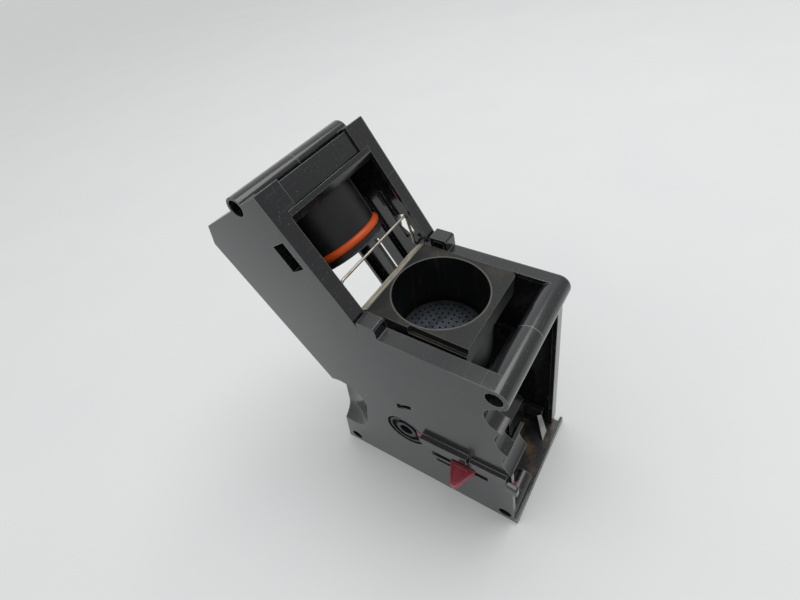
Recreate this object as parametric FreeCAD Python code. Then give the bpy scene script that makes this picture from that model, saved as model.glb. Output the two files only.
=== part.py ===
import FreeCAD, Part
import math
import os

# Brewing unit of an automatic espresso machine: a two-shell housing with a leaning head,
# a brew chamber that tilts back and lifts onto a fixed upper piston, a lower piston that
# pushes the spent puck out, a wire scraper and a sliding lock.
# Bench frame while drawing: x across (0 = seam between the shells), y from the front edge
# back, z up from the table. Parts are moved to the middle of the base when written.

# Driving sizes, millimetres and degrees
BODY_WIDTH = 75.0
WALL = 2.5
BASE_DEPTH = 127.0
FRONT_EDGE = 2.0
RIGHT_EDGE = 5.0
RIGHT_ROUND = 2.2
RIM_Z = 129.2
RIM_PITCH = 4.5
RIM_WIDTH = 8.5
ARM_FOOT_Y = 74.5
ARM_FOOT_Z = 138.4
ARM_LENGTH = 71.0
HEAD_TILT = 26.5
HEAD_DEPTH = 63.5
HEAD_CHAMFER = 9.0
KNEE_Z = 70.0
LIP = 4.0
TRACK_DEPTH = 2.5
SLIDE_GAP = 0.3
FIT_GAP = 0.2

# Screw bosses that join the shells: hole, wall and where each sits
BOSS_HOLE_R = 4.2
BOSS_R = 6.5
SCREW_SEAT_X = -14.0
SCREW_R = 1.9
SCREW_HEAD_R = 3.8
SCREW_HEAD_H = 2.8
SCREW_REACH = 12.0
FRONT_BOSS_Y = 7.6
TOP_BOSS_R = 5.5
TOP_BOSS_DROP = 0.3
TOP_BOSS_D = 18.4
LOW_BOSS_R = 5.6
LOW_BOSS_HOLE_R = 4.0
LOW_BOSS_FRONT = 7.6
LOW_BOSS_BACK = 9.0
LOW_BOSS_LIFT = 1.0
LOW_BOSS_LENGTH = 14.5
LOW_POST_LENGTH = 12.0
LOW_SEAT = 4.0

# Drive shaft and its bushes
HUB_Y = 66.5
HUB_Z = 53.0
HUB_OPENING_R = 12.5
SHAFT_R = 6.5
SHAFT_BORE_R = 4.2
SHAFT_BORE_DEPTH = 22.0
SHAFT_RECESS = 0.5
SOCKET_ACROSS_FLATS = 8.0
SOCKET_DEPTH = 15.0
RUN_GAP = 0.05
BUSH_WEB = 2.0
BUSH_R = 13.5
BUSH_COLLAR_IN = 9.5
BUSH_COLLAR_OUT = 11.0

# Brew chamber, in its own axis: u along it from the hub, v to the front
AXIS_OFFSET = 6.0
CHAMBER_LEAN = 6.0
CHAMBER_TOP = 84.0
CHAMBER_LENGTH = 56.0
BORE_R = 23.7
CYLINDER_WALL = 2.3
PLATE_HALF = 26.5
PLATE_FRONT = 27.5
PLATE_BACK = 25.0
PLATE_THICK = 12.0
PLATE_BEVEL = 5.0
CHAMBER_FLOOR = 3.0
LIFT = 34.0
SHOE_R = 5.5
SHOE_PIN_R = 2.5
SHOE_UPPER_DROP = 14.0
SHOE_LOWER_DROP = 50.0
PLATE_CORNER_R = 3.0

# Lower piston
SIEVE_DEPTH = 31.0
SIEVE_R = 22.0
SIEVE_THICK = 1.2
SIEVE_HOLE_R = 0.6
PISTON_DISC = 6.0
PISTON_GAP = 0.3
ROD_R = 5.0
ROD_FOOT_U = 8.0
ROD_SLEEVE_DROP = 42.0
ROD_SPIGOT_R = 3.0
SIEVE_PITCH = 3.2
SIEVE_CIRCLES = 6
ROD_SLEEVE_WALL = 2.4
SEAL_WIDTH = 2.4

# Upper piston and its carrier
FACE_GAP = 18.5
ORING_SECTION_R = 2.05
PISTON_BODY_R = 21.6
PISTON_FLANGE_R = 22.8
FLANGE_THICK = 3.2
CARRIER_DROP = 3.8
CARRIER_THICK = 3.0
LEDGE_THICK = 2.5
NOZZLE_R = 4.0
NOZZLE_BORE_R = 2.4
NOZZLE_LENGTH = 7.0

# Yoke that swings the chamber
YOKE_THICK = 1.8
TINE = 5.0
YOKE_HUB_R = 11.0
TINE_DROP = 9.0
BEAM_DROP = 53.0
BEAM_HEIGHT = 10.0
BEAM_DEPTH = 6.5
BEAM_GAP = 2.5

# Head openings and panel
PAD_LENGTH = 12.5
PAD_HALF = 23.5
PANEL_DROP = 1.2
WINDOW_DROP = 29.0
WINDOW_D = 9.3
WINDOW_LENGTH = 14.5
WINDOW_WIDTH = 9.5
POCKET_DEPTH = 5.0
POCKET_WALL = 1.5
HEAD_COVER_LOW = 24.0
LONG_SLOT_LOW = -30.0
LONG_SLOT_HIGH = 8.0
LONG_SLOT_IN = 18.0
LONG_SLOT_WIDTH = 4.5
SIDE_HOLE = [(5.0, 12.0), (17.0, 12.0), (18.0, 16.0), (10.0, 21.0), (5.0, 19.0)]
SMALL_SLOT_Y = 56.5
SMALL_SLOT_Z = 84.8
SMALL_SLOT_LENGTH = 10.0
SMALL_SLOT_FALL = 3.5
SMALL_SLOT_TALL = 4.8
THIN_WALL = 1.0

# Sliding lock on the left shell
RAIL_PROUD = 3.4
RAIL_TALL = 5.0
RAIL_HIGH = 60.0
RAIL_STEP = 2.6
RAIL_BACK = 54.0
RAIL_SPLIT = 25.0
LOCK_Z = 40.6
LOCK_SLOT = 4.7
LOCK_SLOT_FRONT = 16.0
LOCK_SLOT_BACK = 51.0
LOCK_SIDE_SLOT = 3.4
UPPER_SLOT_Y = 32.0
UPPER_SLOT_LENGTH = 12.0
UPPER_SLOT_RISE = 7.6
LOWER_SLOT_Y = 39.0
LOWER_SLOT_LENGTH = 10.0
LOWER_SLOT_FALL = 6.2
LOCK_BAR = 1.6
LOCK_BAR_LOW = 36.4
LOCK_BAR_HIGH = 45.4
LOCK_BAR_BACK = 40.5
LOCK_TAB_FRONT = 24.0
LOCK_TAB_BACK = 38.5
LOCK_TAB_OUT = 12.0
LOCK_FORWARD = 7.5
LOCK_FINGER_LOW = 50.6
LOCK_FINGER_HIGH = 56.0
LOCK_FINGER_TIP = 59.3
LOCK_FINGER = 1.2
LOCK_COVER = 0.6
LOCK_COVER_BACK = 42.0

# Wire scraper across the head
WIRE_R = 0.75
WIRE_HALF = 28.0
WIRE_BELOW = 3.36
WIRE_PIVOT_S = 0.7
WIRE_PIVOT_D = 9.7
WIRE_LEAN = 19.8
WIRE_BEND = 2.5

# Finger grip on the left front edge, thumb scoop at the back
GRIP_TOP = 117.0
GRIP_LOW = 59.0
GRIP_START = 5.0
GRIP_HOLLOWS = [(13.6, 5.0), (9.6, 3.4), (6.4, FRONT_EDGE)]
GRIP_DEPTH = 9.0
GRIP_LOW_DEPTH = 20.0
GRIP_SKIN = 2.0
SCOOP_R = 20.0
SCOOP_SINK = 6.8
SCOOP_TOP_IN = 3.5
SCOOP_TOP_DROP = 8.0
SCOOP_LOW_OUT = 2.3
SCOOP_LOW_DROP = 28.0

BASE_THICK = 2.5
BLOCK_FRONT = 21.5
BLOCK_DEPTH = 23.0
BLOCK_LEFT = 3.0
BLOCK_WIDTH = 21.0
BLOCK_HIGH = 42.0
BLOCK_SLOPE = 14.0
BLOCK_FIN = 2.4
BASE_LIP_HIGH = 4.0
REAR_PANEL_TOP = 40.0
REAR_PANEL_LEFT = 24.5

# Worked-out places
V = FreeCAD.Vector
HALF = BODY_WIDTH / 2
INNER = HALF - WALL
TILT = math.radians(HEAD_TILT)
LEAN = math.radians(CHAMBER_LEAN)
PITCH = math.radians(RIM_PITCH)
UP = (math.sin(TILT), math.cos(TILT))
BACK = (math.cos(TILT), -math.sin(TILT))
AXIS = (-math.sin(LEAN), math.cos(LEAN))
FORE = (-math.cos(LEAN), -math.sin(LEAN))
AXIS_FOOT = (HUB_Y + AXIS_OFFSET * FORE[0], HUB_Z + AXIS_OFFSET * FORE[1])
HEAD_FOOT = (HUB_Y - AXIS_OFFSET * BACK[0], HUB_Z - AXIS_OFFSET * BACK[1])
AXIS_D = (HEAD_FOOT[0] - ARM_FOOT_Y) * BACK[0] + (HEAD_FOOT[1] - ARM_FOOT_Z) * BACK[1]
AXIS_S = (HEAD_FOOT[0] - ARM_FOOT_Y) * UP[0] + (HEAD_FOOT[1] - ARM_FOOT_Z) * UP[1]
RIB_ROOT = INNER + FIT_GAP
CYLINDER_R = BORE_R + CYLINDER_WALL
YOKE_OUT = HALF - RIM_WIDTH - SLIDE_GAP
YOKE_IN = YOKE_OUT - YOKE_THICK
TRACK_HALF = SHOE_R + SLIDE_GAP
TRACK_IN = INNER - TRACK_DEPTH
PAD_S = ARM_LENGTH - PAD_LENGTH
CARRIER_S = PAD_S - CARRIER_DROP
WINDOW_S = ARM_LENGTH - WINDOW_DROP
SHOE_UPPER_U = CHAMBER_TOP - SHOE_UPPER_DROP
SHOE_LOWER_U = CHAMBER_TOP - SHOE_LOWER_DROP
ROD_SLEEVE_TOP = CHAMBER_TOP - ROD_SLEEVE_DROP
TINE_TOP = CHAMBER_TOP - TINE_DROP
BEAM_U = CHAMBER_TOP - BEAM_DROP
LOW_BOSS_END = -HALF + LOW_BOSS_LENGTH
LOW_POST_END = LOW_BOSS_END + LOW_POST_LENGTH
LOW_SEAT_X = LOW_BOSS_END - LOW_SEAT
LOCK_REACH = LOCK_BAR + 2 * FIT_GAP
OUT = "parts"


def head(s, d):
    """Bench y, z of a place s up the head and d behind the arms' front faces."""
    return (ARM_FOOT_Y + s * UP[0] + d * BACK[0], ARM_FOOT_Z + s * UP[1] + d * BACK[1])


def brew(u, v):
    """Bench y, z of a place u up the chamber axis and v in front of it, at rest."""
    return (AXIS_FOOT[0] + u * AXIS[0] + v * FORE[0], AXIS_FOOT[1] + u * AXIS[1] + v * FORE[1])


def rim(y):
    """Height of the rim's top at a distance y from the front."""
    return RIM_Z + (y - FRONT_EDGE) * math.tan(PITCH)


HEAD_S_KNEE = (KNEE_Z - ARM_FOOT_Z + HEAD_DEPTH * math.sin(TILT)) / math.cos(TILT)
KNEE = head(HEAD_S_KNEE, HEAD_DEPTH)
BACK_TOP = head(ARM_LENGTH, HEAD_DEPTH - HEAD_CHAMFER)
BACK_SIDE = head(ARM_LENGTH - HEAD_CHAMFER, HEAD_DEPTH)
DEPTH = BACK_SIDE[0]
FRONT_BOSS = (FRONT_BOSS_Y, rim(FRONT_BOSS_Y) - BOSS_R / math.cos(PITCH))
TOP_BOSS = head(ARM_LENGTH - TOP_BOSS_DROP, TOP_BOSS_D)
LOW_BOSS_Z = LOW_BOSS_R + LOW_BOSS_LIFT
LOW_BOSSES = [(LOW_BOSS_FRONT, LOW_BOSS_Z), (BASE_DEPTH - LOW_BOSS_BACK, LOW_BOSS_Z)]
FACE_S = AXIS_S + CHAMBER_TOP + FACE_GAP


def prism(points, x0, x1):
    """Solid between x0 and x1 with a straight-sided outline in y, z."""
    ring = [V(x0, y, z) for y, z in points]
    face = Part.Face(Part.makePolygon(ring + ring[:1]))
    return face.extrude(V(x1 - x0, 0, 0))


def curved_prism(steps, x0, x1):
    """Like prism, with arcs: each step is an end point, or a middle and an end point."""
    edges = []
    at = steps[-1][-1]
    for step in steps:
        start, end = V(x0, *at), V(x0, *step[-1])
        if len(step) == 1:
            edges.append(Part.LineSegment(start, end).toShape())
        else:
            edges.append(Part.Arc(start, V(x0, *step[0]), end).toShape())
        at = step[-1]
    return Part.Face(Part.Wire(edges)).extrude(V(x1 - x0, 0, 0))


def rod_x(centre, r, x0, x1):
    """Round bar across the unit."""
    return Part.makeCylinder(r, x1 - x0, V(x0, *centre), V(1, 0, 0))


def ring_x(centre, r_in, r_out, x0, x1):
    return rod_x(centre, r_out, x0, x1).cut(rod_x(centre, r_in, x0 - 1, x1 + 1))


def box(x0, x1, y0, y1, z0, z1):
    return Part.makeBox(x1 - x0, y1 - y0, z1 - z0, V(x0, y0, z0))


def head_box(x0, x1, s0, s1, d0, d1):
    return prism([head(s0, d0), head(s1, d0), head(s1, d1), head(s0, d1)], x0, x1)


def brew_box(x0, x1, u0, u1, v0, v1):
    return prism([brew(u0, v0), brew(u1, v0), brew(u1, v1), brew(u0, v1)], x0, x1)


def brew_rod(r, u0, u1):
    """Round bar along the chamber axis."""
    return Part.makeCylinder(r, u1 - u0, V(0, *brew(u0, 0)), V(0, *AXIS))


def head_rod(r, s0, s1, x=0.0, d=AXIS_D):
    """Round bar along the head, on the upper piston's axis unless told otherwise."""
    return Part.makeCylinder(r, s1 - s0, V(x, *head(s0, d)), V(0, *UP))


def join(first, *rest):
    return first.fuse(list(rest)).removeSplitter()


def mirror(shape):
    return shape.mirror(V(0, 0, 0), V(1, 0, 0))


def write(name, shape):
    """Writes one node, moved so that the base's middle is the origin."""
    moved = shape.copy()
    moved.translate(V(0, -DEPTH / 2, 0))
    moved.exportStep(os.path.join(OUT, name + ".step"))


def grip_wave(shift):
    """Front edge of the finger grip from the boss down, as arcs: three finger hollows."""
    pitch = (GRIP_TOP - GRIP_LOW) / len(GRIP_HOLLOWS)
    steps = []
    z = GRIP_TOP
    for deep, end in GRIP_HOLLOWS:
        middle, z_end = (deep + shift, z - pitch / 2), (end + shift, z - pitch)
        steps.append((middle, z_end))
        z -= pitch
    return (GRIP_START + shift, GRIP_TOP), steps


def wall_outline(front, foot):
    """Closed side outline of a shell: front edge steps, then foot, back, head and rim."""
    nose = []
    for turn in (90 + RIM_PITCH, 135, 180):
        t = math.radians(turn)
        nose.append((FRONT_BOSS[0] + BOSS_R * math.cos(t), FRONT_BOSS[1] + BOSS_R * math.sin(t)))
    return [(nose[1], nose[2])] + front + [
        ((foot, 0.0),),
        ((BASE_DEPTH, 0.0),),
        (KNEE,),
        (BACK_SIDE,),
        (BACK_TOP,),
        (head(ARM_LENGTH, 0),),
        (head(0, 0),),
        ((ARM_FOOT_Y, rim(ARM_FOOT_Y)),),
        (nose[0],),
    ]


def half_tube(centre, hole_r, r, end, seat):
    """Left part of a screw boss: deep hole for the head, then a hole for the shank."""
    tube = rod_x(centre, r, -HALF, end)
    head_hole = rod_x(centre, hole_r, -HALF - 1, seat)
    return tube, join(head_hole, rod_x(centre, SCREW_R + FIT_GAP, -HALF, end + 1))


def head_ribs():
    """Ribs inside a left shell's head: lip, flanges, chamber track and carrier ledge."""
    return [
        head_box(-RIB_ROOT, -HALF + RIM_WIDTH, 0, ARM_LENGTH, 0, WALL),
        head_box(-RIB_ROOT, -PAD_HALF, PAD_S, ARM_LENGTH, 0, WALL),
        head_box(-RIB_ROOT, -HALF + RIM_WIDTH, ARM_LENGTH - WALL, ARM_LENGTH, 0, HEAD_DEPTH - HEAD_CHAMFER),
        head_box(-RIB_ROOT, -INNER + LIP, HEAD_S_KNEE + WALL, ARM_LENGTH - HEAD_CHAMFER, HEAD_DEPTH - WALL, HEAD_DEPTH),
        head_box(-RIB_ROOT, -TRACK_IN, -18, LIFT, AXIS_D + TRACK_HALF, AXIS_D + TRACK_HALF + 2),
        head_box(-RIB_ROOT, -TRACK_IN, 4, LIFT, AXIS_D - TRACK_HALF - 2, AXIS_D - TRACK_HALF),
        head_box(-RIB_ROOT, -TRACK_IN, CARRIER_S - LEDGE_THICK, CARRIER_S, WALL, HEAD_DEPTH - 2 * HEAD_CHAMFER),
    ]


def rim_parts():
    """Top rim flange of a left shell and the raised clip beside the arm."""
    clip_y0, clip_y1, clip_high = ARM_FOOT_Y - 10.5, ARM_FOOT_Y - 0.5, 6.5
    flange = prism(
        [
            (FRONT_BOSS_Y, rim(FRONT_BOSS_Y)),
            (ARM_FOOT_Y, rim(ARM_FOOT_Y)),
            (ARM_FOOT_Y, rim(ARM_FOOT_Y) - WALL),
            (FRONT_BOSS_Y, rim(FRONT_BOSS_Y) - WALL),
        ],
        -RIB_ROOT,
        -HALF + RIM_WIDTH,
    )
    clip = prism(
        [
            (clip_y0, rim(clip_y0) - WALL),
            (clip_y0, rim(clip_y0) + clip_high - 1),
            (clip_y0 + 1, rim(clip_y0) + clip_high),
            (clip_y1, rim(clip_y1) + clip_high),
            (clip_y1, rim(clip_y1) - WALL),
        ],
        -HALF,
        -HALF + RIM_WIDTH,
    )
    hollow = prism(
        [
            (clip_y0 + 2.2, rim(clip_y0)),
            (clip_y0 + 2.2, rim(clip_y0) + clip_high - 2),
            (clip_y1 - 2.2, rim(clip_y1) + clip_high - 2),
            (clip_y1 - 2.2, rim(clip_y1)),
        ],
        -HALF + 2.5,
        -HALF + RIM_WIDTH + 1,
    )
    return flange, clip.cut(hollow)


def wire_boss():
    """Boss inside the left wall that takes one foot of the wire scraper."""
    centre = head(WIRE_PIVOT_S, WIRE_PIVOT_D)
    return rod_x(centre, 3.0, -INNER - 0.5, -TRACK_IN).cut(rod_x(centre, WIRE_R + RUN_GAP, -INNER, -TRACK_IN + 1))


def rounded_wall(front, foot, r):
    """Side wall whose outer face has its edges rounded."""
    wall = curved_prism(wall_outline(front, foot), -HALF, -INNER)
    outer = [edge for edge in wall.Edges if edge.BoundBox.XMax < -HALF + 0.01]
    return wall.makeFillet(r, outer)


def shell_base(wall):
    """What both shells share, drawn as a left shell: wall, rim, head ribs and bosses."""
    flange, clip = rim_parts()
    pieces = [flange, clip, wire_boss()] + head_ribs()
    return join(wall, *pieces)


def scoop():
    """Thumb scoop at the back edge: a long rounded dish and the skin behind it."""
    centre_x = -HALF - SCOOP_R + SCOOP_SINK
    top = V(centre_x, KNEE[0] - SCOOP_TOP_IN, KNEE_Z - SCOOP_TOP_DROP)
    low = V(centre_x, KNEE[0] + SCOOP_LOW_OUT, KNEE_Z - SCOOP_LOW_DROP)

    def capsule(r):
        length = (low - top).Length
        return join(
            Part.makeCylinder(r, length, top, low - top), Part.makeSphere(r, top), Part.makeSphere(r, low)
        )

    inside = prism([(BASE_DEPTH, 0), KNEE, head(0, HEAD_DEPTH), (ARM_FOOT_Y, ARM_FOOT_Z), (ARM_FOOT_Y, 0)], -HALF, 0)
    skin = capsule(SCOOP_R + WALL).common(inside)
    return skin, capsule(SCOOP_R)


def rail(y0, y1, high, proud):
    """Ledge on the left wall above the lock, sloping back to the wall underneath."""
    x_out = -HALF - proud
    section = [(x_out, high), (-HALF, high), (-HALF, high - RAIL_TALL - proud), (x_out, high - RAIL_TALL)]
    ring = [V(x, y0, z) for x, z in section]
    return Part.Face(Part.makePolygon(ring + ring[:1])).extrude(V(0, y1 - y0, 0))


def lock_guides():
    """Ledge in two steps outside the wall, and two ribs inside that carry the lock cover."""
    x0, x1, y0 = -INNER - 0.5, -INNER + LOCK_REACH, FRONT_EDGE + 3
    low, high = LOCK_BAR_LOW - FIT_GAP, LOCK_FINGER_HIGH + FIT_GAP
    ribs = [
        box(x0, x1, y0, LOWER_SLOT_Y - 1, low - 2, low),
        box(x0, x1, y0, LOCK_COVER_BACK, high, high + 2),
    ]
    back = rail(RAIL_SPLIT + 0.6, RAIL_BACK, RAIL_HIGH, RAIL_PROUD)
    front = rail(FRONT_EDGE + 2, RAIL_SPLIT - 0.6, RAIL_HIGH - RAIL_STEP, RAIL_STEP)
    return ribs + [back, front]


def lock_cuts():
    """The tab's slot, two slots beside it, the finger's groove and the notch at the front."""
    x0, x1 = -HALF - 1, -INNER + 0.5
    half, side = LOCK_SLOT / 2, LOCK_SIDE_SLOT / 2
    slot = box(x0, x1, LOCK_SLOT_FRONT, LOCK_SLOT_BACK, LOCK_Z - half, LOCK_Z + half)
    places = [
        (UPPER_SLOT_Y, UPPER_SLOT_LENGTH, LOCK_Z + UPPER_SLOT_RISE),
        (LOWER_SLOT_Y, LOWER_SLOT_LENGTH, LOCK_Z - LOWER_SLOT_FALL),
    ]
    beside = []
    for y, length, z in places:
        beside.append(box(x0, x1, y, y + length, z - side, z + side))
        beside.append(box(-HALF + THIN_WALL, x1, y - 0.5, y + length + 0.5, z - 2 * side, z + side))
    low, high = LOCK_FINGER_LOW - FIT_GAP, LOCK_FINGER_HIGH + FIT_GAP
    front = LOCK_TAB_FRONT + 2 - LOCK_FORWARD - FIT_GAP
    groove = box(-INNER - LOCK_FINGER - 2 * FIT_GAP, -INNER, front, HUB_Y, low, high)
    notch = box(x0, x1, -1, FRONT_EDGE + 3.5, LOCK_BAR_LOW, LOCK_BAR_HIGH)
    return [slot, groove, notch] + beside


def grip_skin(first, depth):
    """Wavy skin behind the finger hollows, turned in from the left wall's front edge."""
    start, outer = grip_wave(0)
    back_start, inner = grip_wave(GRIP_SKIN)
    face = [start] + [step[-1] for step in outer]
    behind = [back_start] + [step[-1] for step in inner]
    steps = outer[first:] + [(behind[-1],)]
    for k in range(len(inner) - 1, first - 1, -1):
        steps.append((inner[k][0], behind[k]))
    return curved_prism(steps + [(face[first],)], -HALF, -HALF + depth)


def left_shell():
    start, wave = grip_wave(0)
    shell = shell_base(curved_prism(wall_outline([(start,)] + wave, FRONT_EDGE), -HALF, -INNER))
    skin, dish = scoop()
    tubes, holes = [], []
    for boss in screw_bosses() + low_bosses():
        tube, hole = half_tube(*boss)
        tubes.append(tube)
        holes.append(hole)
    grip = [grip_skin(0, GRIP_DEPTH), grip_skin(2, GRIP_LOW_DEPTH)]
    shell = join(shell, skin, window_box(POCKET_WALL, -RIB_ROOT), *(lock_guides() + grip + tubes))
    y0, y1 = SMALL_SLOT_Y, SMALL_SLOT_Y + SMALL_SLOT_LENGTH
    z0, z1 = SMALL_SLOT_Z, SMALL_SLOT_Z - SMALL_SLOT_FALL
    low = SMALL_SLOT_TALL
    slot = prism([(y0, z0), (y1, z1), (y1, z1 - low), (y0, z0 - low)], -HALF - 1, -INNER + 1)
    thin = box(-HALF + THIN_WALL, -INNER + 1, y0 - 1, y1 + 1, z1 - 2 * low, z0 + 1)
    hub = rod_x((HUB_Y, HUB_Z), HUB_OPENING_R, -HALF - RAIL_PROUD - 1, -INNER + 1)
    cuts = [dish, window_box(0, -HALF - 1), slot, thin, hub]
    return shell.cut(cuts + holes + lock_cuts()).removeSplitter()


def window_box(wall, x0):
    """Room of the pocket behind the head's side window, grown by its wall."""
    half, wide = WINDOW_LENGTH / 2 + wall, WINDOW_WIDTH / 2 + wall
    s0, s1, d0, d1 = WINDOW_S - half, WINDOW_S + half, WINDOW_D - wide, WINDOW_D + wide
    return head_box(x0, -INNER + POCKET_DEPTH + wall, s0, s1, d0, d1)


def screw_bosses():
    """Centre, head-hole radius, outer radius, inner end and seat of the bosses between the shells."""
    places = [(TOP_BOSS, TOP_BOSS_R), (FRONT_BOSS, BOSS_R)]
    return [(centre, BOSS_HOLE_R, r, 0.0, SCREW_SEAT_X) for centre, r in places]


def low_bosses():
    """The same for the short bosses that hold the left shell to the base."""
    return [(centre, LOW_BOSS_HOLE_R, LOW_BOSS_R, LOW_BOSS_END, LOW_SEAT_X) for centre in LOW_BOSSES]


def right_shell():
    down = [((RIGHT_EDGE, FRONT_BOSS[1] - BOSS_R),)]
    wall = rounded_wall(down, RIGHT_EDGE, RIGHT_ROUND)
    shell = mirror(shell_base(wall))
    front_lip = box(INNER - LIP, HALF, RIGHT_EDGE, RIGHT_EDGE + WALL, BASE_LIP_HIGH, FRONT_BOSS[1] - BOSS_R)
    tubes, pilots = [], []
    for centre, hole_r, r, end, seat in screw_bosses():
        tube = rod_x(centre, r, end, HALF)
        tubes.append(tube.makeFillet(RIGHT_ROUND, [edge for edge in tube.Edges if edge.BoundBox.XMin > HALF - 0.01]))
        pilots.append(rod_x(centre, SCREW_R, end - 1, SCREW_REACH + 2))
    shell = join(shell, front_lip, *tubes)
    hub = rod_x((HUB_Y, HUB_Z), HUB_OPENING_R, INNER - 1, HALF + 1)
    slot_d = AXIS_D + LONG_SLOT_IN
    long_slot = head_box(INNER - 1, HALF + 1, LONG_SLOT_LOW, LONG_SLOT_HIGH, slot_d, slot_d + LONG_SLOT_WIDTH)
    side_hole = prism([head(s, d) for s, d in SIDE_HOLE], INNER - 1, HALF + 1)
    return shell.cut([hub, long_slot, side_hole] + pilots).removeSplitter()


def base_plate():
    """Floor between the walls with a full-width front lip and posts for the low screws."""
    floor = box(-INNER + FIT_GAP, INNER - FIT_GAP, 0, BASE_DEPTH - 2, 0, BASE_THICK)
    lip = box(-HALF, HALF, 0, FRONT_EDGE - FIT_GAP, 0, BASE_LIP_HIGH)
    start = LOW_BOSS_END + FIT_GAP
    posts, cuts = [], []
    for centre in LOW_BOSSES:
        y, z = centre
        posts.append(rod_x(centre, LOW_BOSS_R, start, LOW_POST_END))
        posts.append(box(start, LOW_POST_END, y - LOW_BOSS_R / 2, y + LOW_BOSS_R / 2, 0, z))
        cuts.append(rod_x(centre, LOW_BOSS_R + FIT_GAP, -HALF, start))
        cuts.append(rod_x(centre, SCREW_R, start - 1, LOW_POST_END - 1.5))
    return join(floor, lip, *posts).cut(cuts)


def inner_block():
    """Hollow moulded block on the base in front of the shaft, with a fin at each side."""
    y0, y1 = BLOCK_FRONT, BLOCK_FRONT + BLOCK_DEPTH
    x0, x1 = BLOCK_LEFT, BLOCK_LEFT + BLOCK_WIDTH
    top = BASE_THICK + BLOCK_HIGH
    low = top - BLOCK_SLOPE
    outline = [(y0, BASE_THICK), (y1, BASE_THICK), (y1, top), (y0 + BLOCK_SLOPE, top), (y0, low)]
    block = prism(outline, x0, x1)
    fin_line = [(y0 + 3, BASE_THICK), (y1, BASE_THICK), (y1, low), (y0 + 3, low - 12)]
    fins = [prism(fin_line, x1, x1 + BLOCK_FIN), prism(fin_line, x0 - BLOCK_FIN, x0)]
    inner = [(y0 + WALL, 0), (y1 - WALL, 0), (y1 - WALL, top - WALL), (y0 + BLOCK_SLOPE + 1, top - WALL), (y0 + WALL, low - 1)]
    return join(block, *fins).cut(prism(inner, x0 + WALL, x1 - WALL))


def rear_panel():
    """Low back wall between the shells, standing on the base."""
    slope = (BASE_DEPTH - KNEE[0]) / KNEE_Z
    z0, z1 = BASE_THICK, REAR_PANEL_TOP

    def back(z):
        return BASE_DEPTH - slope * z - FIT_GAP

    outline = [(back(z0) - WALL, z0), (back(z0), z0), (back(z1), z1), (back(z1) - WALL, z1)]
    panel = prism(outline, -REAR_PANEL_LEFT, INNER - FIT_GAP)
    y, z = LOW_BOSSES[1]
    notch = box(-HALF, LOW_POST_END + FIT_GAP, y - BASE_DEPTH, y + BASE_DEPTH, 0, z + LOW_BOSS_R + FIT_GAP)
    return panel.cut(notch)


def shell_screws():
    """Pan-head screws: two that pull the shells together and two into the base's posts."""
    solids = []
    reach = {0.0: SCREW_REACH, LOW_BOSS_END: LOW_POST_END - 2.5}
    for centre, hole_r, r, end, seat in screw_bosses() + low_bosses():
        head_part = rod_x(centre, SCREW_HEAD_R, seat - SCREW_HEAD_H, seat)
        drive = prism(hexagon(centre, 3.6), seat - SCREW_HEAD_H - 1, seat - 1.0)
        shank = rod_x(centre, SCREW_R, seat, reach[end])
        solids.append(join(head_part.cut(drive), shank))
    return Part.makeCompound(solids)


def hexagon(centre, across):
    r = across / math.sqrt(3)
    turns = [math.radians(60 * k) for k in range(6)]
    return [(centre[0] + r * math.cos(t), centre[1] + r * math.sin(t)) for t in turns]


def bush():
    """Left bearing for the drive shaft: a disc inside the wall and a collar in its opening."""
    centre = (HUB_Y, HUB_Z)
    disc = ring_x(centre, SHAFT_R + RUN_GAP, BUSH_R, -INNER, -INNER + BUSH_WEB)
    collar = ring_x(centre, BUSH_COLLAR_IN, BUSH_COLLAR_OUT, -HALF + SHAFT_RECESS, -INNER)
    gate = box(-HALF, -INNER, 0, HUB_Y - SHAFT_R - 1, LOCK_FINGER_LOW - 2 * FIT_GAP, LOCK_FINGER_HIGH + 2 * FIT_GAP)
    return join(disc, collar.cut(gate))


def drive_shaft():
    """Shaft across both walls: round bore on the left, hexagon drive socket on the right."""
    centre = (HUB_Y, HUB_Z)
    end = HALF - SHAFT_RECESS
    shaft = rod_x(centre, SHAFT_R, -end, end)
    bore = rod_x(centre, SHAFT_BORE_R, -end - 1, -end + SHAFT_BORE_DEPTH)
    socket = prism(hexagon(centre, SOCKET_ACROSS_FLATS), end - SOCKET_DEPTH, end + 1)
    return shaft.cut([bore, socket])


def yoke_arm():
    """Left fork plate on the shaft; its two tines guide the chamber's shoes."""
    wide = TRACK_HALF + TINE
    x0, x1 = -YOKE_OUT, -YOKE_IN
    hub = rod_x((HUB_Y, HUB_Z), YOKE_HUB_R, x0, x1)
    neck = brew_box(x0, x1, 0, SHOE_LOWER_U - SHOE_R - 2, -wide, wide)
    tines = [
        brew_box(x0, x1, 0, TINE_TOP, TRACK_HALF, wide),
        brew_box(x0, x1, 0, TINE_TOP, -wide, -TRACK_HALF),
    ]
    rounds = [rod_x(brew(TINE_TOP, v), TINE / 2, x0, x1) for v in (wide - TINE / 2, TINE / 2 - wide)]
    beam_front = CYLINDER_R + BEAM_GAP + BEAM_DEPTH
    lug = brew_box(x0, x1, BEAM_U, BEAM_U + BEAM_HEIGHT, TRACK_HALF, beam_front)
    plate = join(hub, neck, lug, *(tines + rounds))
    holes = [rod_x((HUB_Y, HUB_Z), SHAFT_R, x0 - 1, x1 + 1)]
    holes += [rod_x(brew(BEAM_U + BEAM_HEIGHT / 2, v), 2.0, x0 - 1, x1 + 1) for v in (15.0, 22.0)]
    return plate.cut(holes)


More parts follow.
